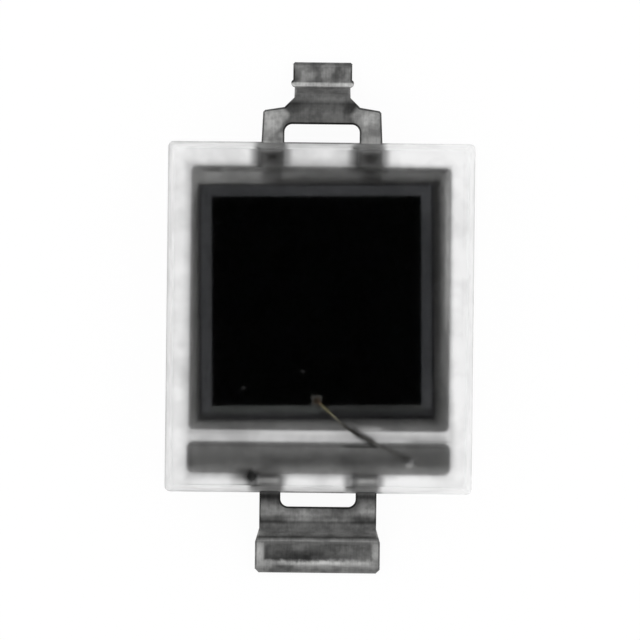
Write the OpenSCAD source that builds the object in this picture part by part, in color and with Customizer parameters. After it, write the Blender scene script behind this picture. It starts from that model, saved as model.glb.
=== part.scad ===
// Clear surface-mount photodiode: a silicon sensing die on a stamped lead frame, moulded in clear epoxy,
// with a gull-wing lead at each end of the body. Z is up and the feet stand on Z 0. +Y points to the
// cathode lead, and the origin is the middle of the footprint. Lengths are in millimetres.

/* [Body] */
// Width of the epoxy body at its parting line
body_w = 3.9; // [3.7:0.05:4.6]
// Length of the epoxy body at its parting line
body_l = 4.45; // [4.3:0.05:5.2]
// Height of the epoxy body
body_h = 1.1; // [1:0.05:1.6]
// Gap under the body when the feet stand on a board
standoff = 0.05; // [0.02:0.01:0.1]
// Lean of the mould walls in degrees
body_draft = 7; // [2:1:12]
// Corner radius of the flat top and underside
body_corner_r = 0.03; // [0.02:0.01:0.1]
// Broken edge round the flat top and underside
body_edge = 0.03; // [0.01:0.01:0.06]

/* [Lead frame] */
// Thickness of the stamped strip
lead_t = 0.15; // [0.1:0.01:0.2]
// Height of the strip's underside inside the body
lead_z = 0.35; // [0.28:0.01:0.45]
// How far each lead reaches past the body
lead_reach = 1.025; // [0.95:0.025:1.4]
// Slope of the gull wings in degrees
wing_slope = 70; // [55:1:80]
// Inside radius of the bends
bend_r = 0.075; // [0.04:0.005:0.1]
// Width of the slot between the legs of a lead
slot_w = 0.955; // [0.8:0.005:1]
// Corner radius at the outer end of the slots
slot_r = 0.1; // [0.04:0.01:0.12]
// Corner radius where the legs join the paddle and the bar
leg_fillet_r = 0.05; // [0.02:0.01:0.08]
// Gap between the die paddle and the bond bar
frame_gap = 0.14; // [0.12:0.01:0.25]

/* [Cathode lead] */
// Epoxy wall beside the die paddle
paddle_side_wall = 0.3; // [0.2:0.01:0.35]
// Epoxy wall between the paddle and the cathode end of the body
paddle_end_wall = 0.31; // [0.2:0.01:0.4]
// Corner radius of the die paddle
paddle_r = 0.07; // [0.03:0.01:0.15]
// Width of each cathode leg
cathode_leg_w = 0.29; // [0.285:0.005:0.4]
// Reach of the slot past the body on the cathode lead
cathode_slot = 0.23; // [0.12:0.01:0.3]
// Flat shoulder between the body and the cathode bend
cathode_shoulder = 0.42; // [0.35:0.01:0.5]
// Width of the neck at the bends
neck_w = 0.71; // [0.55:0.01:0.74]
// Width of the shoulder at its outer corners
shoulder_w = 1.5; // [1.4:0.01:1.52]
// Cut at the outer corners of the shoulder
shoulder_cut = 0.025; // [0.01:0.005:0.04]
// Fall of the shoulder from the bend to its outer corners
shoulder_fall = 0.015; // [0.005:0.005:0.04]
// Rise of the shoulder from the bend to the neck
shoulder_rise = 0.025; // [0.01:0.005:0.05]
// Cut between the shoulder and the neck
neck_cut = 0.125; // [0.06:0.005:0.15]
// Width of the cathode foot
cathode_foot_w = 0.75; // [0.6:0.01:0.9]
// Cut at the outer corners of the cathode foot
cathode_toe_cut = 0.02; // [0.01:0.005:0.05]
// Bulge that the lower bend pushes out on each side
bend_bulge = 0.025; // [0.01:0.005:0.04]
// Rolled edge at the cut end of the cathode foot
cathode_toe_r = 0.06; // [0.03:0.01:0.09]

/* [Anode lead] */
// Epoxy wall beside the bond bar
bar_side_wall = 0.28; // [0.2:0.01:0.35]
// Epoxy wall between the bar and the anode end of the body
bar_end_wall = 0.24; // [0.2:0.01:0.4]
// Breadth of the bond bar along the part
bar_l = 0.41; // [0.35:0.01:0.5]
// Corner radius of the bond bar
bar_r = 0.09; // [0.03:0.01:0.15]
// Width of each anode leg
anode_leg_w = 0.265; // [0.2:0.005:0.4]
// Reach of the slot past the body on the anode lead
anode_slot = 0.175; // [0.12:0.005:0.25]
// Flat shoulder between the body and the anode bend
anode_shoulder = 0.295; // [0.26:0.005:0.4]
// Width of the anode foot
anode_foot_w = 1.59; // [1.5:0.01:1.8]
// Length of the wing that widens to the anode foot
anode_flare = 0.18; // [0.1:0.01:0.3]
// Cut at the outer corners of the anode foot
anode_toe_cut = 0.05; // [0.02:0.005:0.07]
// Rolled edge at the cut end of the anode foot
anode_toe_r = 0.11; // [0.05:0.01:0.13]

/* [Die] */
// Side of the square silicon die
die_w = 2.97; // [2.8:0.01:3.1]
// Thickness of the die
die_t = 0.28; // [0.2:0.01:0.32]
// Offset of the die from the middle of the paddle, across the part
die_shift_x = -0.045; // [-0.05:0.005:0.05]
// Offset of the die from the middle of the paddle, along the part
die_shift_y = -0.04; // [-0.06:0.005:0.06]
// Skew of the die on the paddle in degrees
die_turn = 0.8; // [-2:0.1:2]
// Thickness of the adhesive under the die
attach_t = 0.02; // [0.01:0.005:0.04]
// Adhesive that shows round the die
attach_rim = 0.02; // [0.01:0.005:0.04]
// Side of the square sensing window
window_w = 2.65; // [2.4:0.01:2.7]
// Offset of the window from the middle of the die
window_shift = 0.013; // [0:0.001:0.04]
// Depth of the window in the oxide round it
window_depth = 0.003; // [0.002:0.001:0.005]

/* [Wire bond] */
// Breadth of the contact strip along the window
strip_l = 0.085; // [0.05:0.005:0.1]
// Thickness of the contact metal
contact_t = 0.006; // [0.004:0.001:0.01]
// Width of the bond pad
bond_pad_w = 0.12; // [0.1:0.005:0.16]
// Reach of the bond pad into the window
bond_pad_l = 0.125; // [0.1:0.005:0.16]
// Diameter of the gold wire
wire_d = 0.04; // [0.03:0.002:0.05]
// Diameter of the ball bond
ball_d = 0.09; // [0.07:0.005:0.1]
// Height of the loop above the contact metal
loop_h = 0.13; // [0.1:0.01:0.16]
// Radius of the wire's bend over the ball
loop_r = 0.06; // [0.04:0.005:0.08]
// Straight run of the loop before it turns aside
loop_run = 0.34; // [0.3:0.01:0.4]
// Turn aside that the flowing resin gives the wire, in degrees
sweep = 16; // [10:1:20]
// Radius of the wire's turn aside
sweep_r = 1; // [0.6:0.05:1.2]
// Radius of the wire's bend where it dips
dip_r = 0.15; // [0.08:0.01:0.2]
// Place of the stitch bond on the bar, across the part
stitch_x = 1.12; // [0.9:0.01:1.3]
// Diameter of the pressed stitch
stitch_d = 0.1; // [0.08:0.005:0.12]
// Thickness of the pressed stitch
stitch_t = 0.01; // [0.006:0.001:0.014]

/* [Hidden] */
$fn = 64;
// Spare length of a cutting shape past the faces that it cuts
over = 0.1;

// Heights of the stack
lead_top = lead_z + lead_t;
parting_z = lead_z + lead_t / 2;
body_top = standoff + body_h;
die_z = lead_top + attach_t;
contact_top = die_z + die_t - window_depth + contact_t;

// Body walls above and below the parting line
upper_wall_h = body_top - parting_z - body_edge;
lower_wall_h = parting_z - standoff - body_edge;
upper_lean = upper_wall_h * tan(body_draft);
lower_lean = lower_wall_h * tan(body_draft);
parting_r = body_corner_r + body_edge + max(upper_lean, lower_lean);

// Gull wing: two equal bends with a straight slope between them
mid_bend_r = bend_r + lead_t / 2;
bulge_r = lead_t / 3;
slope_l = (lead_z - 2 * mid_bend_r * (1 - cos(wing_slope))) / sin(wing_slope);
wing_run = 2 * mid_bend_r * sin(wing_slope) + slope_l * cos(wing_slope);

// Places along the part, from the middle of the body
body_end = body_l / 2;
lead_end = body_end + lead_reach;
paddle_w = body_w - 2 * paddle_side_wall;
paddle_top = body_end - paddle_end_wall;
bar_w = body_w - 2 * bar_side_wall;
bar_outer = body_end - bar_end_wall;
bar_inner = bar_outer - bar_l;
paddle_bottom = -bar_inner + frame_gap;
cathode_root_w = slot_w + 2 * cathode_leg_w;
anode_root_w = slot_w + 2 * anode_leg_w;
cathode_bend = body_end + cathode_shoulder;
anode_bend = body_end + anode_shoulder;

// Die and its window, then the ball bond in the die's own frame and in the part's
die_place = [die_shift_x, (paddle_top + paddle_bottom) / 2 + die_shift_y];
window_bottom = window_shift - window_w / 2;
strip_bottom = window_bottom - strip_l;
bond_pad_top = window_bottom + bond_pad_l;
ball_on_die = (window_bottom + bond_pad_top) / 2;
ball_place = die_place + ball_on_die * [-sin(die_turn), cos(die_turn)];

// Wire loop from over the ball: a level run, a turn aside, then a dip that ends at the stitch
stitch_place = [stitch_x, -(bar_inner + bar_outer) / 2];
wire_span = stitch_place - ball_place;
loop_z = contact_top + loop_h;
run_end = loop_r + loop_run;
sweep_end = [run_end + sweep_r * sin(sweep), sweep_r * (1 - cos(sweep))];
swept_way = [cos(sweep), sin(sweep)];
swept_part = sweep_end * swept_way;
dip_reach = sqrt(pow(norm(wire_span), 2) - pow(norm(sweep_end), 2) + pow(swept_part, 2)) - swept_part;
stitch_ahead = sweep_end + dip_reach * swept_way;
wire_heading = atan2(wire_span.y, wire_span.x) - atan2(stitch_ahead.y, stitch_ahead.x);
dip_to_stitch = [dip_reach, lead_top - (loop_z - dip_r)];
dip_angle = asin(dip_r / norm(dip_to_stitch)) - atan2(dip_to_stitch.y, dip_to_stitch.x);
dip_l = sqrt(pow(norm(dip_to_stitch), 2) - pow(dip_r, 2));

// Block with round corners whose walls lean inwards as it rises
module leaning_block(w, l, r, h, lean) {
    rotate([90, 0, 0])
        linear_extrude(l - 2 * r, center = true)
            polygon([[-w / 2, 0], [w / 2, 0], [w / 2 - lean, h], [lean - w / 2, h]]);
    rotate([90, 0, 90])
        linear_extrude(w - 2 * r, center = true)
            polygon([[-l / 2, 0], [l / 2, 0], [l / 2 - lean, h], [lean - l / 2, h]]);
    for (x = [-1, 1], y = [-1, 1])
        translate([x * (w / 2 - r), y * (l / 2 - r), 0])
            cylinder(h = h, r1 = r, r2 = r - lean);
}

// One mould half, rising from the parting line: a drafted wall and the broken edge on top
module mould_half(wall_h, lean) {
    leaning_block(body_w, body_l, parting_r, wall_h, lean);
    translate([0, 0, wall_h])
        leaning_block(body_w - 2 * lean, body_l - 2 * lean, parting_r - lean, body_edge, body_edge);
}

// Rectangle centred across the part, from one place along it to another, with round corners
module round_plate(w, from_y, to_y, r) {
    translate([r - w / 2, from_y]) square([w - 2 * r, to_y - from_y]);
    translate([-w / 2, from_y + r]) square([w, to_y - from_y - 2 * r]);
    for (x = [-1, 1], y = [from_y + r, to_y - r])
        translate([x * (w / 2 - r), y]) circle(r);
}

// Hollow fillets on both sides of a strip that is w wide and rises from an edge at y
module root_fillets(w, y, r) {
    for (x = [-1, 1])
        scale([x, 1])
            translate([w / 2, y])
                difference() {
                    square(r);
                    translate([r, r]) circle(r);
                }
}

// Slot between two legs, from the paddle or bar to the lead's crossbar, its outer corners round
module leg_slot(from_y, to_y) {
    translate([-slot_w / 2, from_y]) square([slot_w, to_y - from_y - slot_r]);
    round_plate(slot_w, from_y + slot_r, to_y, slot_r);
}

// One bend of the strip about the X axis, from flat to the wing's slope
module strip_bend(w) {
    rotate([0, -90, 0])
        rotate_extrude(angle = wing_slope)
            translate([bend_r, -w / 2]) square([lead_t, w]);
}

// Strip bent into a gull wing towards +Y: flat to bend_y, down the wing, then the foot with its rolled toe
module gull_strip(w, from_y, bend_y, toe_r) {
    foot_l = lead_end - bend_y - wing_run;
    translate([-w / 2, from_y, lead_z]) cube([w, bend_y - from_y, lead_t]);
    translate([0, bend_y, lead_z - bend_r]) {
        strip_bend(w);
        rotate([-wing_slope, 0, 0]) {
            translate([-w / 2, 0, bend_r]) cube([w, slope_l, lead_t]);
            translate([0, slope_l, 2 * bend_r + lead_t]) {
                mirror([0, 0, 1]) strip_bend(w);
                rotate([wing_slope, 0, 0])
                    translate([0, 0, -bend_r - lead_t]) foot(w, foot_l, toe_r);
            }
        }
    }
}

// Foot of a lead on its solder face, with the upper edge of its cut end rolled over
module foot(w, l, toe_r) {
    translate([-w / 2, 0, 0]) cube([w, l - toe_r, lead_t]);
    translate([0, l - toe_r, 0]) {
        translate([-w / 2, 0, 0]) cube([w, toe_r, lead_t - toe_r]);
        translate([0, 0, lead_t - toe_r])
            rotate([0, -90, 0])
                rotate_extrude(angle = 90)
                    translate([0, -w / 2]) square([toe_r, w]);
    }
}

// Outline of a foot from its bend to past the end of the strip, its outer corners cut off
module foot_outline(w, from_y, cut) {
    half = w / 2;
    past = half - cut - over;
    polygon([[-half, from_y], [half, from_y], [half, lead_end - cut], [past, lead_end + over],
             [-past, lead_end + over], [-half, lead_end - cut]]);
}

// Outline of the cathode lead's shoulder, from inside the paddle to the neck, its edges leaning to the neck
module shoulder_outline() {
    corner_y = cathode_bend - shoulder_fall;
    neck_y = cathode_bend + shoulder_rise;
    right = [[cathode_root_w / 2, paddle_top - over], [cathode_root_w / 2, body_end],
             [shoulder_w / 2, corner_y - shoulder_cut], [shoulder_w / 2 - shoulder_cut, corner_y],
             [neck_w / 2 + neck_cut, neck_y], [neck_w / 2, neck_y + neck_cut]];
    left = [for (i = [len(right) - 1:-1:0]) [-right[i].x, right[i].y]];
    polygon(concat(right, left));
}

// Stamped outline of the cathode lead, seen from above
module cathode_outline() {
    foot_y = cathode_bend + wing_run;
    difference() {
        union() {
            round_plate(paddle_w, paddle_bottom, paddle_top, paddle_r);
            shoulder_outline();
            root_fillets(cathode_root_w, paddle_top, leg_fillet_r);
            translate([-neck_w / 2, cathode_bend - over]) square([neck_w, foot_y - cathode_bend + over]);
            foot_outline(cathode_foot_w, foot_y, cathode_toe_cut);
            for (x = [-1, 1])
                translate([x * (cathode_foot_w / 2 + bend_bulge - bulge_r), foot_y]) circle(bulge_r);
        }
        leg_slot(paddle_top, body_end + cathode_slot);
    }
}

// Stamped outline of the anode lead, drawn towards +Y
module anode_outline() {
    foot_y = anode_bend + wing_run;
    flare_y = foot_y - anode_flare;
    difference() {
        union() {
            round_plate(bar_w, bar_inner, bar_outer, bar_r);
            translate([-anode_root_w / 2, bar_outer - over])
                square([anode_root_w, flare_y - bar_outer + over]);
            root_fillets(anode_root_w, bar_outer, leg_fillet_r);
            polygon([[-anode_root_w / 2, flare_y], [anode_root_w / 2, flare_y],
                     [anode_foot_w / 2, foot_y], [-anode_foot_w / 2, foot_y]]);
            foot_outline(anode_foot_w, foot_y, anode_toe_cut);
        }
        leg_slot(bar_outer, body_end + anode_slot);
    }
}

// Upright prism on a stamped outline, tall enough to cut the bent strip
module outline_cutter() {
    translate([0, 0, -over]) linear_extrude(lead_top + 2 * over) children();
}

module on_die() {
    translate([die_place.x, die_place.y, die_z]) rotate(die_turn) children();
}

module cathode_lead() {
    color("lightslategray")
        intersection() {
            gull_strip(body_w, paddle_bottom - over, cathode_bend, cathode_toe_r);
            outline_cutter() cathode_outline();
        }
}

module anode_lead() {
    color("slategray")
        mirror([0, 1, 0])
            intersection() {
                gull_strip(body_w, bar_inner - over, anode_bend, anode_toe_r);
                outline_cutter() anode_outline();
            }
}

module die_attach() {
    rim_w = die_w + 2 * attach_rim;
    color("dimgray")
        on_die()
            translate([0, 0, -attach_t])
                linear_extrude(attach_t)
                    round_plate(rim_w, -rim_w / 2, rim_w / 2, attach_rim);
}

module silicon_die() {
    color([0.08, 0.08, 0.1])
        on_die()
            difference() {
                translate([-die_w / 2, -die_w / 2, 0]) cube([die_w, die_w, die_t]);
                translate([-window_w / 2, strip_bottom, die_t - window_depth])
                    cube([window_w, window_w + strip_l, window_depth + over]);
            }
}

module anode_contact() {
    color("silver")
        on_die()
            translate([0, 0, die_t - window_depth])
                linear_extrude(contact_t) {
                    translate([-window_w / 2, strip_bottom]) square([window_w, strip_l]);
                    translate([-bond_pad_w / 2, window_bottom - strip_l / 2])
                        square([bond_pad_w, bond_pad_l + strip_l / 2]);
                }
}

module bond_wire() {
    ball_r = ball_d / 2;
    wire_r = wire_d / 2;
    color("goldenrod")
        translate([ball_place.x, ball_place.y, 0])
            rotate(wire_heading) {
                // flattened ball bond and the neck over it
                translate([0, 0, contact_top])
                    intersection() {
                        translate([0, 0, ball_r / 2]) sphere(ball_r);
                        cylinder(h = ball_d, r = ball_d);
                    }
                translate([0, 0, contact_top + ball_r / 2])
                    cylinder(h = loop_h - loop_r - ball_r / 2, r = wire_r);
                // bend over the ball, then the straight run
                translate([loop_r, 0, loop_z - loop_r])
                    rotate([90, 0, 0])
                        rotate(90)
                            rotate_extrude(angle = 90)
                                translate([loop_r, 0]) circle(wire_r);
                translate([loop_r, 0, loop_z]) rotate([0, 90, 0]) cylinder(h = loop_run, r = wire_r);
                // turn aside, then the dip to the bar, cut off on its face, and the pressed stitch there
                translate([run_end, sweep_r, loop_z]) {
                    rotate(-90) rotate_extrude(angle = sweep) translate([sweep_r, 0]) circle(wire_r);
                    rotate(sweep)
                        translate([0, -sweep_r, -dip_r]) {
                            rotate([90, 0, 0])
                                rotate(90 - dip_angle)
                                    rotate_extrude(angle = dip_angle)
                                        translate([dip_r, 0]) circle(wire_r);
                            intersection() {
                                rotate([0, dip_angle, 0])
                                    translate([0, 0, dip_r])
                                        rotate([0, 90, 0]) cylinder(h = dip_l + wire_d, r = wire_r);
                                translate([0, -wire_d, dip_to_stitch.y])
                                    cube([dip_to_stitch.x + 2 * wire_d, 2 * wire_d, body_h]);
                            }
                            translate([dip_reach, 0, dip_to_stitch.y]) cylinder(h = stitch_t, d = stitch_d);
                        }
                }
            }
}

module epoxy_body() {
    color([0.93, 0.94, 0.92, 0.35])
        difference() {
            translate([0, 0, parting_z]) {
                mould_half(upper_wall_h, upper_lean);
                mirror([0, 0, 1]) mould_half(lower_wall_h, lower_lean);
            }
            cathode_lead();
            anode_lead();
            die_attach();
            silicon_die();
            anode_contact();
            bond_wire();
        }
}

epoxy_body();
cathode_lead();
anode_lead();
die_attach();
silicon_die();
anode_contact();
bond_wire();
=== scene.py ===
import math

import bmesh
import bpy
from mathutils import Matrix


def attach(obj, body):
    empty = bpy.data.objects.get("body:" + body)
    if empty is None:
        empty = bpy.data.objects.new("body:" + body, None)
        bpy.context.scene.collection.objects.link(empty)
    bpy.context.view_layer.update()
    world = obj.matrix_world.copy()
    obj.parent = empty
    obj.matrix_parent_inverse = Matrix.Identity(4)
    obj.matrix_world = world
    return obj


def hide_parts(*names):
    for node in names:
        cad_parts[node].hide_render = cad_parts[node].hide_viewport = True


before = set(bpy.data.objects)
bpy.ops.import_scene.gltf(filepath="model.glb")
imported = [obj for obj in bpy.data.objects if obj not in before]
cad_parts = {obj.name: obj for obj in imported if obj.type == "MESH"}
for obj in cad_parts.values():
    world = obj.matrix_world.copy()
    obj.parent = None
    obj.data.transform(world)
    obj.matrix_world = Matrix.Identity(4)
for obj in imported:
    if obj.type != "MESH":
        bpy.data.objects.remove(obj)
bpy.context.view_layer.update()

# The lead frame: two strips of copper alloy, stamped from sheet, plated and bent into gull wings.
# The paddle carries the chip and the bar takes the wire. Inside the epoxy the silver stays clean and
# darker to the eye; outside, the tin is dull and mottled, with upper edges rolled by the punch.
MM = 0.001
ROLLED_EDGE = 0.03
ROLL_STEPS = 3
ROUND_PROFILE = 0.5
SHARP_ANGLE = math.radians(35)
FLAT_ANGLE = math.radians(0.5)
MERGE_GAP = 0.00002
UPPER_SIDE = 0.2


def pick_only(*pieces):
    """Leaves only these pieces selected, the first of them active."""
    bpy.ops.object.select_all(action="DESELECT")
    for piece in pieces:
        piece.select_set(True)
    bpy.context.view_layer.objects.active = pieces[0] if pieces else None


def resize_whole(piece, factor):
    """Turns a piece from metres into millimetres or back, with its place kept in its mesh."""
    pick_only(piece)
    piece.scale = (factor, factor, factor)
    bpy.ops.object.transform_apply(location=True, rotation=True, scale=True)


def solid_copy(node_name, piece_name):
    """A copy of a solid in millimetres, its loose triangles merged into whole faces."""
    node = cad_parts[node_name]
    piece = bpy.data.objects.new(piece_name, node.data.copy())
    bpy.context.scene.collection.objects.link(piece)
    resize_whole(piece, 1 / MM)
    bpy.ops.object.mode_set(mode="EDIT")
    bpy.ops.mesh.select_all(action="SELECT")
    bpy.ops.mesh.remove_doubles(threshold=MERGE_GAP)
    bpy.ops.mesh.dissolve_limited(angle_limit=FLAT_ANGLE)
    bpy.ops.object.mode_set(mode="OBJECT")
    return piece


def choose_edges(piece, test):
    """In edit mode, selects the edges that pass the test, and nothing else."""
    mesh = bmesh.from_edit_mesh(piece.data)
    bpy.ops.mesh.select_mode(type="EDGE")
    bpy.ops.mesh.select_all(action="DESELECT")
    for edge in mesh.edges:
        if test(edge):
            edge.select_set(True)
    bmesh.update_edit_mesh(piece.data)


def sharp(edge):
    """True where two faces meet at a clear angle."""
    return len(edge.link_faces) == 2 and edge.calc_face_angle() > SHARP_ANGLE


def upper_rim(edge):
    """True for the sharp edges round an upper face."""
    return sharp(edge) and max(face.normal.z for face in edge.link_faces) > UPPER_SIDE


def smooth_piece(piece):
    """Back to metres, with soft shading that keeps flat faces flat."""
    resize_whole(piece, MM)
    bpy.ops.object.shade_smooth_by_angle(angle=SHARP_ANGLE)
    bpy.ops.object.modifier_add(type="WEIGHTED_NORMAL")
    piece.modifiers[-1].keep_sharp = True
    bpy.ops.object.modifier_apply(modifier=piece.modifiers[-1].name)


def dress(piece, node_name, finish):
    """Gives a piece its finish, hangs it on the root body and hides the solid it stands for."""
    piece.data.materials.clear()
    piece.data.materials.append(finish)
    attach(piece, "root")
    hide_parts(node_name)


class Tone:
    """A socket in a finish. Sums and products of tones add Math nodes, and add() any other node."""

    def __init__(self, tree, node=None, out=0):
        self.tree, self.node = tree, node
        self.socket = node.outputs[out] if node and node.outputs else None

    def add(self, kind, settings=None, sockets=None, out=0):
        node = self.tree.nodes.new(kind)
        for name, value in (settings or {}).items():
            setattr(node, name, value)
        for key, value in (sockets or {}).items():
            if isinstance(value, Tone):
                self.tree.links.new(value.socket, node.inputs[key])
            else:
                node.inputs[key].default_value = value
        return Tone(self.tree, node, out)

    def out(self, name):
        return Tone(self.tree, self.node, name)

    def maths(self, operation, *values):
        return self.add("ShaderNodeMath", {"operation": operation}, dict(enumerate(values)))

    def __add__(self, other):
        return self.maths("ADD", self, other)

    __radd__ = __add__

    def __sub__(self, other):
        return self.maths("SUBTRACT", self, other)

    def __rsub__(self, other):
        return self.maths("SUBTRACT", other, self)

    def __mul__(self, other):
        return self.maths("MULTIPLY", self, other)

    __rmul__ = __mul__

    def __abs__(self):
        return self.maths("ABSOLUTE", self)


def new_finish(name):
    """An empty material and the tone that its nodes start from."""
    material = bpy.data.materials.new(name)
    material.use_nodes = True
    material.node_tree.nodes.clear()
    return material, Tone(material.node_tree)


def millimetres(start, centre=(0, 0, 0), turn=0.0):
    """Object coordinates in millimetres, from a centre and turned about Z."""
    return start.add("ShaderNodeMapping", {"vector_type": "TEXTURE"}, {
        "Vector": start.add("ShaderNodeTexCoord", out="Object"),
        "Location": [along * MM for along in centre],
        "Rotation": (0, 0, turn),
        "Scale": (MM, MM, MM)})


def axes_of(place):
    """The three coordinates of a place."""
    parts = place.add("ShaderNodeSeparateXYZ", {}, {0: place})
    return parts, parts.out("Y"), parts.out("Z")


def larger(first, second):
    """The larger of two values."""
    return first.maths("MAXIMUM", first, second)


def fade(value, low, high):
    """0 at low and 1 at high, with a soft start and end."""
    return value.add("ShaderNodeMapRange", {"interpolation_type": "SMOOTHSTEP"}, {
        "Value": value, "From Min": low, "From Max": high})


def band(value, low, high, soft):
    """1 between low and high, 0 outside, with soft ends."""
    return fade(value, low - soft, low + soft) * fade(value, high + soft, high - soft)


def mottle(place, scale, detail=3.0, stretch=(1, 1, 1)):
    """Noise from 0 to 1 with so many spots to the millimetre, drawn out along an axis if asked."""
    spread = place.add("ShaderNodeMapping", {}, {"Vector": place, "Scale": stretch})
    return place.add("ShaderNodeTexNoise", {}, {"Vector": spread, "Scale": scale, "Detail": detail})


def marked(tone, darker=(), lighter=()):
    """A tone changed by marks, each a strength and the mask that says where it lies."""
    for strength, mask in darker:
        tone = tone * (1 - strength * mask)
    for strength, mask in lighter:
        tone = tone * (1 + strength * mask)
    return tone


def tint(mask, dark, light):
    """A colour between two, by a mask. The Mix node's colours are its sockets 6 and 7, its result 2."""
    first, second = (colour if isinstance(colour, Tone) else (*colour, 1) for colour in (dark, light))
    return mask.add("ShaderNodeMix", {"data_type": "RGBA"}, {0: mask, 6: first, 7: second}, out=2)


def surface(start, **sockets):
    """Ends a finish with one shader and its output."""
    shader = start.add("ShaderNodeBsdfPrincipled", {}, {
        name.replace("_", " "): value for name, value in sockets.items()})
    start.add("ShaderNodeOutputMaterial", {}, {"Surface": shader})


BODY_L = 4.45
BODY_END = BODY_L / 2
BEND_MIDDLE, BEND_APART = 2.5825, 0.0625
WING_RUN = 0.337
LEG_MIDDLE, LEG_HALF = 0.62, 0.143
PAD_HALF, PAD_TOP, PAD_END = 1.65, 1.915, -1.435
BAR_MIDDLE = -1.80
STITCH = (1.15, -1.84)
DIE_CENTRE = (-0.045, 0.2, 0)
DIE_TURN = math.radians(0.8)
DIE_HALF = 1.485
BLACK, WARM_WHITE = (0, 0, 0), (1, 1, 0.985)
GRAIN_DEPTH = 4e-6
plating, start = new_finish("dull_tin_plating")
place = millimetres(start)
x, y = axes_of(place)[:2]
run = abs(y) - (BEND_MIDDLE + BEND_APART * start.maths("SIGN", y))
cathode = fade(y, 0, 0.1)
anode = fade(y, 0, -0.1)
bare = fade(abs(y), BODY_END - 0.03, BODY_END + 0.03)
# Tilted faces, the rolled edges and the bends, are painted darker: painted shade for the dark they mirror.
tilt_shade = fade(axes_of(start.add("ShaderNodeNewGeometry", out="Normal"))[2], 0.998, 0.93)
clouds = mottle(place, 5.0)
spots = mottle(place, 16.0, 4.0)
streaks = mottle(place, 9.0, 3.0, (5, 0.6, 1))
wear = fade(clouds * 0.5 + spots * 0.3 + streaks * 0.2, 0.34, 0.66)

# The paddle is dark round the chip where adhesive bled out, with painted shade added to that bleed. It has
# painted shade along its own edge and on its right side by the chip, painted light at its upper left corner
# and a painted highlight on its right rim. It is darker at its lower right, has a bright patch on its lower
# edge, and is lighter at the middle and right of its top.
die_x, die_y = axes_of(millimetres(start, DIE_CENTRE, DIE_TURN))[:2]
die_gap = larger(abs(die_x), abs(die_y)) - DIE_HALF
on_bar = fade(y, -1.48, -1.53)
on_pad = 1 - on_bar
lit_corner = fade(x, -0.5, -0.8) * fade(y, 1.4, 1.6)
bleed_limit = (1.2 - 0.8 * fade(x, 0.0, 0.7)) * fade(y, -1.1, -1.35) + 1.9 - 0.9 * fade(x, -1.3, 0.0)
bleed_and_shade = fade(die_gap * bleed_limit, 0.2, 0.0) * (0.6 + 0.2 * clouds) * (1 - 0.8 * lit_corner)
pad_rim = larger(abs(x) - PAD_HALF, larger(y - PAD_TOP, PAD_END - y))
rim_start = -0.045 - 0.035 * fade(y, 1.7, 1.8)
rim_depth = (0.35 + 0.65 * fade(clouds, 0.35, 0.6)) * (1 - 0.7 * fade(x, -1.5, -1.58))
pad_edge_shade = on_pad * band(pad_rim, rim_start, 0.0, 0.02) * rim_depth
right = on_pad * fade(x, 1.35, 1.45)
right_rim_highlight = right * fade(x, 1.56, 1.63) * fade(y, -0.4, 0.4)
right_shade_by_chip = right * fade(die_gap, 0.15, 0.02) * fade(y, -0.9, 0.0)
right_low = right * fade(y, -0.6, -1.0)
lower_edge_patch = on_pad * band(x, 0.5, 0.78, 0.04) * fade(y, -1.365, -1.4)
top_middle = fade(abs(x), 0.48, 0.38) * band(y, 1.83, 1.93, 0.03)
top_right = band(x, 0.8, 1.5, 0.1) * fade(y, 1.72, 1.78)

# The bar is dimmer than the paddle and along its middle. Its lower band has a painted highlight, turned to
# painted shade over the legs. Painted shade lies at its upper edge and ends, a painted highlight near its
# right end, and a bright dab by the stitch.
bar_dip = 0.34 * fade(abs(y - BAR_MIDDLE), 0.13, 0.02) * (1 - 0.65 * fade(x, -0.5, -0.9))
bar_foot = fade(y, -1.85, -1.93) * (0.3 - 0.42 * band(abs(x + 0.03), 0.46, 0.78, 0.05))
bar_dim = on_bar * (0.2 + bar_dip - bar_foot)
bar_edge_shade = band(y, -1.63, -1.57, 0.012) * (0.5 + 0.7 * band(x, 0.3, 0.72, 0.06))
bar_end_shade = on_bar * fade(abs(x), 1.62, 1.66)
bar_right = on_bar * fade(x, 0.9, 1.2) * fade(y, -1.78, -1.68)
bar_left = on_bar * fade(x, -0.9, -1.2)
bar_end_highlight = on_bar * band(x, 1.555, 1.58, 0.012)
dab = fade(larger(abs(x - STITCH[0]), abs(y - STITCH[1])), 0.06, 0.02)

# The legs inside the epoxy: painted shade on the cathode's legs where they leave the paddle and on all legs
# where they pass into the wall, painted light on each neck, and dark squares on the cathode's legs.
root = fade(abs(y), 1.95, 2.05)
leg_width = band(abs(x), 0.5, 0.745, 0.03)
neck_dark = leg_width * band(y, 1.73, 1.87, 0.04)
cathode_neck_light = leg_width * band(y, 2.095, 2.3, 0.03)
anode_neck_light = band(abs(x), 0.46, 0.78, 0.04) * band(y, -2.1, -2.03, 0.03)
dark_squares = band(abs(x), 0.56, 0.69, 0.03) * band(y, 1.96, 2.07, 0.03)
silver = marked(
    0.32 + 0.10 * wear,
    darker=((1, bleed_and_shade), (0.7, pad_edge_shade), (0.68, right_shade_by_chip), (0.25, right_low),
            (1, bar_dim), (0.5, bar_edge_shade + bar_end_shade), (0.36, bar_right),
            (0.3, root), (0.5, neck_dark), (0.5, dark_squares), (0.5, tilt_shade)),
    lighter=((0.35, lit_corner), (2.2, right_rim_highlight), (2.6, lower_edge_patch), (0.35, top_middle), (0.22, top_right),
             (0.14, bar_left), (0.6, bar_end_highlight), (1.9, dab), (1.4, cathode_neck_light + 3.2 * anode_neck_light)))
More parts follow.
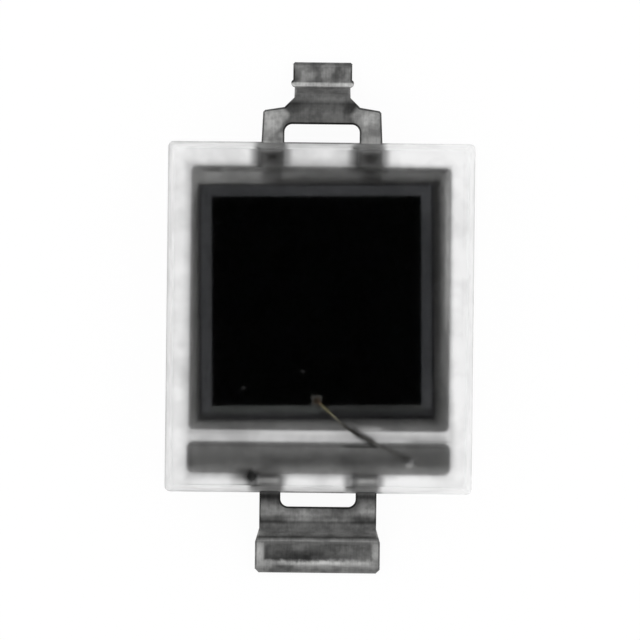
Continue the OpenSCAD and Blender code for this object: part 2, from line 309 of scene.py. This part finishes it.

# Outside, the legs and the bend: painted shade along the legs' edges, on the bridge above the cathode's
# slot and along the upper curve of each bend, and a dark line where the anode's legs leave the body.
leg_edge_shade = fade(abs(abs(x) - LEG_MIDDLE) - LEG_HALF, -0.065, 0.0) * fade(run, 0.0, -0.1)
cathode_leg = cathode * fade(y, 2.50, 2.36)
bridge_shade = fade(abs(x + 0.03) - 0.65 * abs(2.56 - y), 0.43, 0.35) * fade(y, 2.3, 2.38) * fade(run, 0.14, 0.06)
bridge_shade = cathode * bridge_shade * (1 + 0.35 * fade(abs(x), 0.22, 0.34) * fade(y, 2.55, 2.62))
bend_shade = 0.4 * band(run, 0.0, 0.09, 0.03) + 0.34 * fade(abs(x), 0.35, 0.5) * band(run, -0.03, 0.1, 0.03)
bend_shade = anode * bend_shade + 0.48 * cathode * band(run, -0.03, 0.05, 0.03)
exit_line = anode * band(run, -0.272, -0.228, 0.02)
plate_dim = anode * band(run, -0.2, 0.03, 0.03) * band(x, 0.1, 0.5, 0.12)
legs_dim = 0.5 * fade(abs(x), 0.4, 0.5) * fade(run, -0.09, -0.24)
left_dim = 0.3 * fade(x, -0.45, -0.5) * fade(run, 0.0, -0.05)
right_dim = 0.2 * fade(x, 0.45, 0.5) * fade(run, -0.05, -0.12)

# The wings and feet: painted shade on the slopes and painted light low on them, a painted highlight along
# the crease where the foot starts, painted shade at the anode's crease, mottled painted shade in the middle
# of the anode's foot, and painted highlights along its toe and rims.
wing_dim = 0.32 * band(run, 0.05, 0.19, 0.04) + 0.3 * band(run, 0.265, 0.31, 0.015)
wing_light = 0.4 * anode * band(run, 0.205, 0.255, 0.02) + 0.3 * cathode * band(run, 0.2, 0.29, 0.03)
crease_highlight = band(run, WING_RUN - 0.04, WING_RUN, 0.014) * (0.7 * cathode + 0.12 * anode)
crease_shade = anode * band(run, WING_RUN - 0.025, WING_RUN + 0.01, 0.015)
cathode_foot = cathode * fade(run, WING_RUN, WING_RUN + 0.02)
foot_stain = 0.4 + 0.3 * fade(mottle(place, 6.0, 2.0), 0.35, 0.65)
toe = fade(abs(y), 3.13, 3.17)
toe_stain = (0.2 + 0.5 * fade(mottle(place, 4.0, 3.0), 0.38, 0.6)) * (1 - 0.6 * fade(x, 0.1, 0.5))
ragged = 0.3 * (clouds - 0.5) + 0.12 * (spots - 0.5)
foot_middle = fade(x + 0.2 * ragged, -0.695, -0.66) * fade(x + 0.5 * ragged, 0.8, 0.62)
foot_middle = anode * foot_middle * band(run + 0.3 * ragged, WING_RUN + 0.005, WING_RUN + 0.23, 0.025)
foot_shade = 0.4 + 0.2 * fade(mottle(place, 5.0, 3.0, (0.6, 1.3, 1)), 0.32, 0.68)
foot_shade = foot_shade + 0.24 * fade(x, 0.6, -0.1) * fade(run, WING_RUN + 0.05, WING_RUN + 0.18)
toe_highlight = anode * band(run + 0.2 * ragged, 0.585, 0.63, 0.02) * fade(abs(x - 0.1), 0.8, 0.2)
foot_rim_highlights = 0.35 * fade(x, -0.67, -0.7) + 0.2 * fade(x, 0.66, 0.74)
foot_rim_highlights = anode * foot_rim_highlights * band(run, WING_RUN + 0.05, WING_RUN + 0.24, 0.05)
foot_tone = 1 - 0.24 * anode * fade(run, WING_RUN - 0.05, WING_RUN) + 0.6 * toe_highlight + foot_rim_highlights
tin = marked(
    0.37 + 0.34 * wear,
    darker=((0.74 - 0.12 * anode, tilt_shade * (1 - crease_highlight) * (1 - 0.45 * toe)), (0.22, anode),
            (0.3, leg_edge_shade), (0.14, cathode_leg), (0.56, bridge_shade), (1, bend_shade), (0.4, exit_line),
            (0.48, plate_dim), (anode, wing_dim + legs_dim + left_dim + right_dim),
            (cathode_foot, foot_stain), (toe * anode, toe_stain), (foot_middle, foot_shade)),
    lighter=((1, wing_light),))
tin = marked(tin * foot_tone + 0.16 * crease_highlight, darker=((0.27, crease_shade), (0.1, cathode_foot)))
grain = start.add("ShaderNodeBump", {}, {
    "Height": spots * bare + streaks * 0.4, "Strength": 0.12, "Distance": GRAIN_DEPTH})
surface(start, Base_Color=tint(silver + (tin - silver) * bare, BLACK, WARM_WHITE), Metallic=1.0,
        Roughness=0.40 + 0.08 * wear + 0.06 * bare, Normal=grain)

for node_name, piece_name in (("cathode_lead", "cathode_strip"), ("anode_lead", "anode_strip")):
    lead = solid_copy(node_name, piece_name)
    bpy.ops.object.mode_set(mode="EDIT")
    choose_edges(lead, upper_rim)
    bpy.ops.mesh.bevel(offset=ROLLED_EDGE, segments=ROLL_STEPS, profile=ROUND_PROFILE, loop_slide=False)
    bpy.ops.object.mode_set(mode="OBJECT")
    smooth_piece(lead)
    dress(lead, node_name, plating)

# The die attach: a drop of silver-filled adhesive between the chip and the paddle. It is pressed out to
# a thin rim under the chip and cured.
FLAKE_GREYS = (0.05, 0.05, 0.05), (0.1, 0.1, 0.098)
attach_finish, start = new_finish("silver_adhesive")
flakes = mottle(millimetres(start), 40.0, 4.0)
surface(start, Base_Color=tint(flakes, *FLAKE_GREYS), Metallic=0.4, Roughness=0.45 + 0.2 * flakes)
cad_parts["die_attach"].data.materials[0] = attach_finish

# The chip: a square of silicon sawn from a wafer and glued to the paddle. Its sensing window is coated
# black, a grey guard ring runs round the window, and a darker lane is left outside the ring by the saw.
WINDOW_HALF = 1.325
WINDOW_SHIFT = 0.013
RING_HALF = 1.456
EDGE_SOFT = 0.006
DIE_TOP = 0.8
SPECKS = (-0.93, -1.08), (-0.18, -0.88)
SPECK_GREY = (0.05, 0.05, 0.05)
WINDOW_BLACKS = (0.0006, 0.0006, 0.0007), (0.0014, 0.0014, 0.0015)
LANE_GREYS = (0.028, 0.028, 0.03), (0.009, 0.009, 0.01)
RING_GREYS = (0.064, 0.066, 0.071), (0.082, 0.084, 0.088)
RING_FOOT, RING_LOW_RIGHT, RING_RIGHT = (0.05, 0.051, 0.053), (0.026, 0.027, 0.029), (0.05, 0.052, 0.056)
SAWN_GREYS = (0.10, 0.10, 0.105), (0.2, 0.2, 0.205)


def gap_to(place, spot):
    """How far each place is from a spot."""
    return place.add("ShaderNodeVectorMath", {"operation": "DISTANCE"}, {0: place, 1: spot}, out="Value")


chip_finish, start = new_finish("coated_silicon")
place = millimetres(start, DIE_CENTRE, DIE_TURN)
across, along, height = axes_of(place)
from_middle = larger(abs(across), abs(along - WINDOW_SHIFT))
outside_window = fade(from_middle, WINDOW_HALF - EDGE_SOFT, WINDOW_HALF + EDGE_SOFT)
inside_ring = fade(from_middle, RING_HALF + EDGE_SOFT, RING_HALF - EDGE_SOFT)
dust = mottle(place, 7.0, 5.0)
lane = tint(fade(across, -1.2, 1.2) * (0.7 + 0.6 * dust), *LANE_GREYS)
ring = tint(fade(along, -1.385, -1.4), tint(dust, *RING_GREYS), RING_FOOT)
ring = tint(0.8 * fade(along, -1.34, -1.38) * fade(across, -0.2, 0.1), ring, RING_LOW_RIGHT)
ring = tint(0.8 * fade(across, 1.3, 1.36) * fade(abs(along), 1.3, 0.6), ring, RING_RIGHT)
specks = larger(*(fade(gap_to(place, (*spot, DIE_TOP)), 0.03, 0.012) for spot in SPECKS))
window = tint(specks, tint(dust, *WINDOW_BLACKS), SPECK_GREY)
top_face = tint(outside_window, window, tint(inside_ring, lane, ring))
sawn_wall = tint(mottle(place, 5.0, 2.0, (1, 1, 14)), *SAWN_GREYS)
face_up = fade(height, DIE_TOP - 0.02, DIE_TOP - 0.01)
surface(start, Base_Color=tint(face_up, sawn_wall, top_face),
        Roughness=0.1 + 0.2 * outside_window + 0.06 * dust, Specular_IOR_Level=0.05)
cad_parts["silicon_die"].data.materials[0] = chip_finish

# The contact: aluminium laid on the chip as a film, a strip along one edge of the window and the square
# pad that takes the wire.
STRIP_METALS = (0.08, 0.085, 0.083), (0.12, 0.127, 0.122)
STRIP_DIM = (0.058, 0.061, 0.06)
BOND_PAD_METALS = (0.13, 0.13, 0.122), (0.2, 0.2, 0.187)
BOND_PAD_START = -1.10
contact_finish, start = new_finish("aluminium_film")
place = millimetres(start)
x, y = axes_of(place)[:2]
film = mottle(place, 30.0, 3.0)
strip = tint(fade(x, 0.0, 0.25), tint(film, *STRIP_METALS), STRIP_DIM)
on_bond_pad = fade(y, BOND_PAD_START - 0.01, BOND_PAD_START + 0.01)
surface(start, Base_Color=tint(on_bond_pad, strip, tint(film, *BOND_PAD_METALS)), Metallic=1.0,
        Roughness=0.3 + 0.15 * film)
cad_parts["anode_contact"].data.materials[0] = contact_finish

# The bond wire: drawn gold, melted to a ball that is pressed on the chip's pad, looped over the chip's
# edge and crushed on the bar as a stitch. Past the chip its colour is painted grey and it is made less
# metallic: painted reflection of the dark leads and painted shade, darkest just past the chip's edge and
# darker again by the bar and at the stitch.
GOLDS = (0.21, 0.19, 0.11), (0.3, 0.27, 0.165)
PALE_GOLD, BALL_GOLD = (0.2, 0.195, 0.16), (0.2, 0.125, 0.08)
WIRE_GREY, WIRE_DARK = (0.26, 0.255, 0.235), (0.04, 0.037, 0.028)
GREY_BY_BAR, STITCH_DARK = (0.075, 0.073, 0.066), (0.02, 0.02, 0.019)
gold_finish, start = new_finish("drawn_gold")
place = millimetres(start)
x = axes_of(place)[0]
drawn = mottle(place, 50.0, 2.0)
gold = tint(fade(x, 0.05, 0.3), tint(drawn, *GOLDS), PALE_GOLD)
gold = tint(fade(x, 0.035, 0.0), gold, BALL_GOLD)
reflected_grey = tint(band(x, 0.3, 0.49, 0.04), WIRE_GREY, WIRE_DARK)
reflected_grey = tint(fade(x, 0.66, 0.8), reflected_grey, GREY_BY_BAR)
reflected_grey = tint(fade(x, 1.02, 1.07), reflected_grey, STITCH_DARK)
past_chip = fade(x, 0.22, 0.36)
surface(start, Base_Color=tint(past_chip, gold, reflected_grey), Metallic=1 - 0.85 * past_chip,
        Roughness=0.28 + 0.14 * drawn + 0.2 * past_chip)
wire = solid_copy("bond_wire", "gold_wire")
smooth_piece(wire)
dress(wire, "bond_wire", gold_finish)

# The body: clear epoxy moulded round the lead frame in two mould halves. Its walls lean in above and
# below the parting line, with small rounds on corners and edges. The walls get a milky white diffuse
# finish, a painted reflection of the white ground that the walls of a clear block show, and are left clear
# where the dark legs stand behind them.
BODY_W = 3.9
BODY_BOTTOM, BODY_TOP, PARTING = 0.05, 1.15, 0.425
DRAFT = math.tan(math.radians(7))
CORNER, CORNER_STEPS = 0.07, 5
EDGE_BREAK, EDGE_STEPS = 0.03, 3
UPRIGHT = 0.1
pick_only()
bpy.ops.mesh.primitive_cube_add(size=1, location=(0, 0, (BODY_TOP + BODY_BOTTOM) / 2),
                                scale=(BODY_W, BODY_L, BODY_TOP - BODY_BOTTOM))
shell = bpy.context.object
shell.name = "clear_body"
bpy.ops.object.transform_apply(location=True, rotation=True, scale=True)
bpy.ops.object.mode_set(mode="EDIT")
bpy.ops.mesh.select_all(action="SELECT")
bpy.ops.mesh.bisect(plane_co=(0, 0, PARTING), plane_no=(0, 0, 1))
for level in (BODY_BOTTOM, BODY_TOP):
    lean = 2 * DRAFT * abs(level - PARTING)
    choose_edges(shell, lambda edge: all(abs(corner.co.z - level) < MERGE_GAP for corner in edge.verts))
    bpy.ops.transform.resize(value=((BODY_W - lean) / BODY_W, (BODY_L - lean) / BODY_L, 1),
                             center_override=(0, 0, level))
choose_edges(shell, lambda edge: abs(edge.verts[0].co.z - edge.verts[1].co.z) > UPRIGHT)
bpy.ops.mesh.bevel(offset=CORNER, segments=CORNER_STEPS, profile=ROUND_PROFILE)
choose_edges(shell, lambda edge: edge.verts[0].co.z == edge.verts[1].co.z and
             abs(edge.verts[0].co.z - PARTING) > UPRIGHT)
bpy.ops.mesh.bevel(offset=EDGE_BREAK, segments=EDGE_STEPS, profile=ROUND_PROFILE)
bpy.ops.object.mode_set(mode="OBJECT")
smooth_piece(shell)

WHITE = (1, 1, 1)
EPOXY_IOR = 1.52
RIPPLE_DEPTH = 2e-5
VOID = (-0.835, -2.01, BODY_TOP)
WIRE_MIDDLE, WIRE_ACROSS = (0.575, -1.508), (0.49, 0.872)
BAR_END = -2.0
epoxy, start = new_finish("clear_epoxy_resin")
place = millimetres(start)
x, y, height = axes_of(place)
wall = band(height, BODY_BOTTOM + 0.006, BODY_TOP - 0.006, 0.004)
on_face = fade(height, BODY_TOP - 0.03, BODY_TOP - 0.01)
top_edge = fade(height, BODY_TOP - 0.045, BODY_TOP - 0.03)
flow = mottle(place, 3.0, 2.0)
cloudy = fade(flow, 0.3, 0.7) - 0.5
scuff = mottle(place, 12.0, 5.0)
ripple = start.add("ShaderNodeBump", {}, {"Height": flow, "Strength": 0.1, "Distance": RIPPLE_DEPTH})
ends = fade(abs(y), 1.95, 2.05)
at_anode = fade(y, 0, -0.1)
by_lead = fade(abs(x), 0.85, 0.75)

# The shadows that the legs throw into the resin, with a light spot on each neck.
leg_x = abs(x + 0.025 + 0.02 * at_anode)
leg_depth = 0.75 + 0.25 * on_face + 0.2 * fade(height, 0.75, 0.5)
inner_side = band(x - LEG_MIDDLE * start.maths("SIGN", x), -0.2, -0.14, 0.045)
leg_line = leg_depth * fade(abs(y) - 0.07 * at_anode, 1.85, 1.93) * inner_side
leg_light = band(leg_x, 0.46, 0.78, 0.04) * (band(y, -2.1, -2.03, 0.03) + band(y, 2.1, 2.165, 0.025))
leg_shadow = (fade(y, 1.86, 1.96) + fade(y, -1.93, -2.03)) * fade(abs(leg_x - LEG_MIDDLE), 0.305, 0.195)
leg_shadow = leg_depth * leg_shadow * (1 - 0.7 * leg_light)
wall_dusk = by_lead * fade(abs(y), 2.12, 2.2)

# Painted shadow round the paddle and the bar, painted shade at the paddle's top between the legs, and
# painted shade in the slit between them, along its edges and along the bar's upper edge.
pad_top_gap = larger(y - PAD_TOP, BAR_END - y)
pad_gap = larger(abs(x + 0.014 * (y - 0.24)) - PAD_HALF, pad_top_gap)
low_left = fade(x, 0.4, -1.2) * fade(y, 1.4, -1.2) * (1 - 0.7 * fade(y, -0.9, -1.4))
between_legs = fade(abs(x), 0.5, 0.4) * fade(y, 1.8, 1.9)
shadow_reach = 1.6 - 0.7 * low_left + 0.9 * fade(x, 0.9, 1.3) * fade(y, -1.5, -0.6) - 0.6 * between_legs
pad_shadow = fade(pad_gap * shadow_reach, 0.14, -0.02) * fade(pad_gap, -0.06, 0.0) * (1 + 0.3 * between_legs)
pad_shadow = pad_shadow * (1 - 0.7 * fade(x, 0.9, 1.1) * fade(y, -1.85, -1.92))
slit_shade = fade(abs(x), 1.7, 1.56) * band(y, -1.56, -1.46, 0.05)
slit_left = fade(x, -0.5, -1.0) * band(y, -1.475, -1.44, 0.03)
slit_right = fade(x, 1.0, 1.3) * band(y, -1.575, -1.535, 0.03)
slit_edge_shade = fade(abs(x), 1.7, 1.6) * (slit_left + 1.7 * slit_right)
bar_shadow_line = band(y, -1.64, -1.605, 0.012) * fade(abs(x), 1.66, 1.6)
bar_shadow_line = bar_shadow_line * (0.5 + fade(x, 0.2, 0.4) * fade(x, 0.8, 0.7))
top_gap = fade(abs(x), 0.48, 0.4) * fade(y, 1.93, 1.98)
mould_rule = band(x, 1.785, 1.81, 0.015) * fade(y, -1.2, -0.2)

# The wire's painted shadow, with painted shade under it in the slit, and a small void beside the left leg
# of the anode, with painted shade round it and to its left.
wire_gap = abs(WIRE_ACROSS[0] * (x - WIRE_MIDDLE[0]) + WIRE_ACROSS[1] * (y - WIRE_MIDDLE[1]))
wire_shadow = fade(wire_gap, 0.075, 0.025) * band(x, 0.44, 0.72, 0.06)
wire_dusk = fade(abs(x - 0.55), 0.6, 0.1) * band(y, -1.58, -1.44, 0.03)
void_gap = gap_to(place, VOID)
void = fade(void_gap + 0.08 * (scuff - 0.5), 0.13, 0.045)
void_shade = fade(void_gap, 0.35, 0.05)
left_leg_shade = fade(x, -1.2, -0.93) * fade(x, -0.79, -0.87) * band(y, -2.06, -1.9, 0.05)
# The resin's tint, mottled, with painted light brighter towards the right, and lighter at the far left edge
# and between the anode's legs. The painted shade and shadows above darken it, and so does the void.
resin_tint_and_shade = 0.83 + 0.14 * fade(x, 0.3, 1.5) + 0.03 * fade(abs(y), 1.6, 2.0) + 0.3 * cloudy
resin_tint_and_shade = resin_tint_and_shade + 0.09 * fade(x, -1.7, -1.83) + 0.09 * fade(abs(x), 0.48, 0.3) * fade(y, -1.98, -2.06)
resin_tint_and_shade = marked(resin_tint_and_shade, darker=(
    (0.68, leg_shadow), (0.86, leg_line), (0.24, wall_dusk), (0.3, pad_shadow * (1 - slit_shade)), (0.09, top_gap),
    (0.32 + 0.14 * fade(x, 0.8, 1.2), slit_shade), (0.35, slit_edge_shade), (0.42, bar_shadow_line), (0.08, mould_rule),
    (0.78, wire_shadow), (0.3, wire_dusk), (0.95, void), (0.25, void_shade), (0.78, left_leg_shade)))
resin = start.add("ShaderNodeBsdfPrincipled", {}, {
    "Base Color": tint(resin_tint_and_shade, BLACK, WHITE), "Roughness": 0.28 + 0.05 * scuff + 0.2 * wall,
    "IOR": EPOXY_IOR, "Transmission Weight": 1.0, "Specular Tint": (*BLACK, 1), "Normal": ripple})

# The tone of the walls' painted reflection: painted brighter towards the right, with painted shade along
# the rim, more by the lead ends, and at the top edge. It is left out beside the legs.
inset = larger(abs(x) - BODY_W / 2, abs(y) - BODY_END)
wide_rim = 0.14 * fade(inset, -0.09, 0.0) * fade(x, 1.3, 0.3)
thin_rim = (0.16 + 0.3 * by_lead * ends) * fade(inset, -0.028, -0.012)
thin_rim = thin_rim * (1 - 0.6 * ends * fade(x, 0.9, 1.2))
reflection_tone = 0.92 + 0.06 * fade(x, -1.2, 1.2) + (0.04 + 0.08 * fade(height, 0.3, 0.5)) * cloudy
reflection_tone = reflection_tone - (wide_rim + thin_rim) * (1 + 0.8 * by_lead * ends) - 0.04 * top_edge
wall_reflection = start.add("ShaderNodeBsdfPrincipled", {}, {
    "Base Color": tint(reflection_tone, BLACK, WHITE), "Roughness": 1.0, "Specular IOR Level": 0.0})
before_legs = (0.99 - 0.02 * fade(height, 0.55, 1.05)) * band(leg_x, 0.41 - 0.02 * at_anode, 0.83, 0.05)
before_slot = 0.2 * fade(abs(x), 0.48, 0.38)
clear_share = ends * (before_legs + before_slot) * fade(height, 0.2, 0.4)
milky = (0.75 + 0.08 * top_edge) * wall * (1 - clear_share)
start.add("ShaderNodeOutputMaterial", {}, {
    "Surface": start.add("ShaderNodeMixShader", {}, {0: milky, 1: resin, 2: wall_reflection})})
dress(shell, "epoxy_body", epoxy)

# The table: a plain white sheet under the feet, which takes the soft shadow of the part. From below it
# lets the view through.
SHEET = 0.8
SHEET_GAP = 2e-6
PAPER = (0.97, 0.97, 0.97)
GLOW, GLOW_SEEN = 0.9, 0.955
pick_only()
bpy.ops.mesh.primitive_plane_add(size=SHEET, location=(0, 0, -SHEET_GAP))
table = bpy.context.object
table.name = "white_table"
paper, start = new_finish("white_paper")
ray = start.add("ShaderNodeLightPath")
mirrored = larger(ray.out("Is Glossy Ray"), ray.out("Is Transmission Ray"))
glowing = larger(GLOW_SEEN * ray.out("Is Camera Ray"), GLOW * mirrored)
matt = start.add("ShaderNodeBsdfDiffuse", {}, {"Color": (*PAPER, 1)})
glow = start.add("ShaderNodeEmission", {}, {"Color": (*WHITE, 1), "Strength": 1.0})
lit = start.add("ShaderNodeMixShader", {}, {0: glowing, 1: matt, 2: glow})
clear = start.add("ShaderNodeBsdfTransparent")
below = start.add("ShaderNodeNewGeometry", out="Backfacing")
start.add("ShaderNodeOutputMaterial", {}, {
    "Surface": start.add("ShaderNodeMixShader", {}, {0: below, 1: lit, 2: clear})})
table.data.materials.append(paper)

# The light: a white tent that glows overhead and falls off towards the table, with a dark round port
# at the top where the camera looks in.
PORT_DARK, TENT_BRIGHT, TENT_FOOT = 0.02, 1.5, 0.25
PORT_EDGE, PORT_MIDDLE = math.cos(math.radians(38)), math.cos(math.radians(8))
WALL_FOOT, WALL_TOP = math.cos(math.radians(88)), math.cos(math.radians(55))
tent = bpy.data.worlds.new("light_tent")
bpy.context.scene.world = tent
tent.use_nodes = True
tent.node_tree.nodes.clear()
start = Tone(tent.node_tree)
upward = abs(axes_of(start.add("ShaderNodeTexCoord", out="Generated"))[2])
port = fade(upward, PORT_EDGE, PORT_MIDDLE)
cloth = TENT_FOOT + (1 - TENT_FOOT) * fade(upward, WALL_FOOT, WALL_TOP)
tent_light = PORT_DARK + TENT_BRIGHT * cloth * (1 - port)
camera_ray = start.add("ShaderNodeLightPath", out="Is Camera Ray")
strength = larger(camera_ray, tent_light * (1 - camera_ray))
start.add("ShaderNodeOutputWorld", {}, {
    "Surface": start.add("ShaderNodeBackground", {}, {"Color": (*WHITE, 1), "Strength": strength})})
bpy.context.scene.view_settings.view_transform = "Standard"

# The camera: straight above the part, far off behind a long lens, and turned a little as the part is
# turned in its picture.
PICTURE = 640
PIXELS_PER_MM = 78.8
MIDDLE = (320.0, 317.75)
FOCUS_Z = 0.45
ROLL = math.radians(0.65)
DISTANCE = 120.0
SENSOR = 36
NEAREST, FARTHEST = 0.01, 10
off_x = (PICTURE / 2 - MIDDLE[0]) / PIXELS_PER_MM
off_y = (MIDDLE[1] - PICTURE / 2) / PIXELS_PER_MM
lens = bpy.data.cameras.new("macro_lens")
lens.sensor_width = SENSOR
lens.lens = SENSOR * DISTANCE / (PICTURE / PIXELS_PER_MM)
lens.clip_start, lens.clip_end = NEAREST, FARTHEST
camera = bpy.data.objects.new("camera", lens)
bpy.context.scene.collection.objects.link(camera)
camera.location = ((off_x * math.cos(ROLL) - off_y * math.sin(ROLL)) * MM,
                   (off_x * math.sin(ROLL) + off_y * math.cos(ROLL)) * MM,
                   (FOCUS_Z + DISTANCE) * MM)
camera.rotation_euler = (0, 0, ROLL)
bpy.context.scene.camera = camera
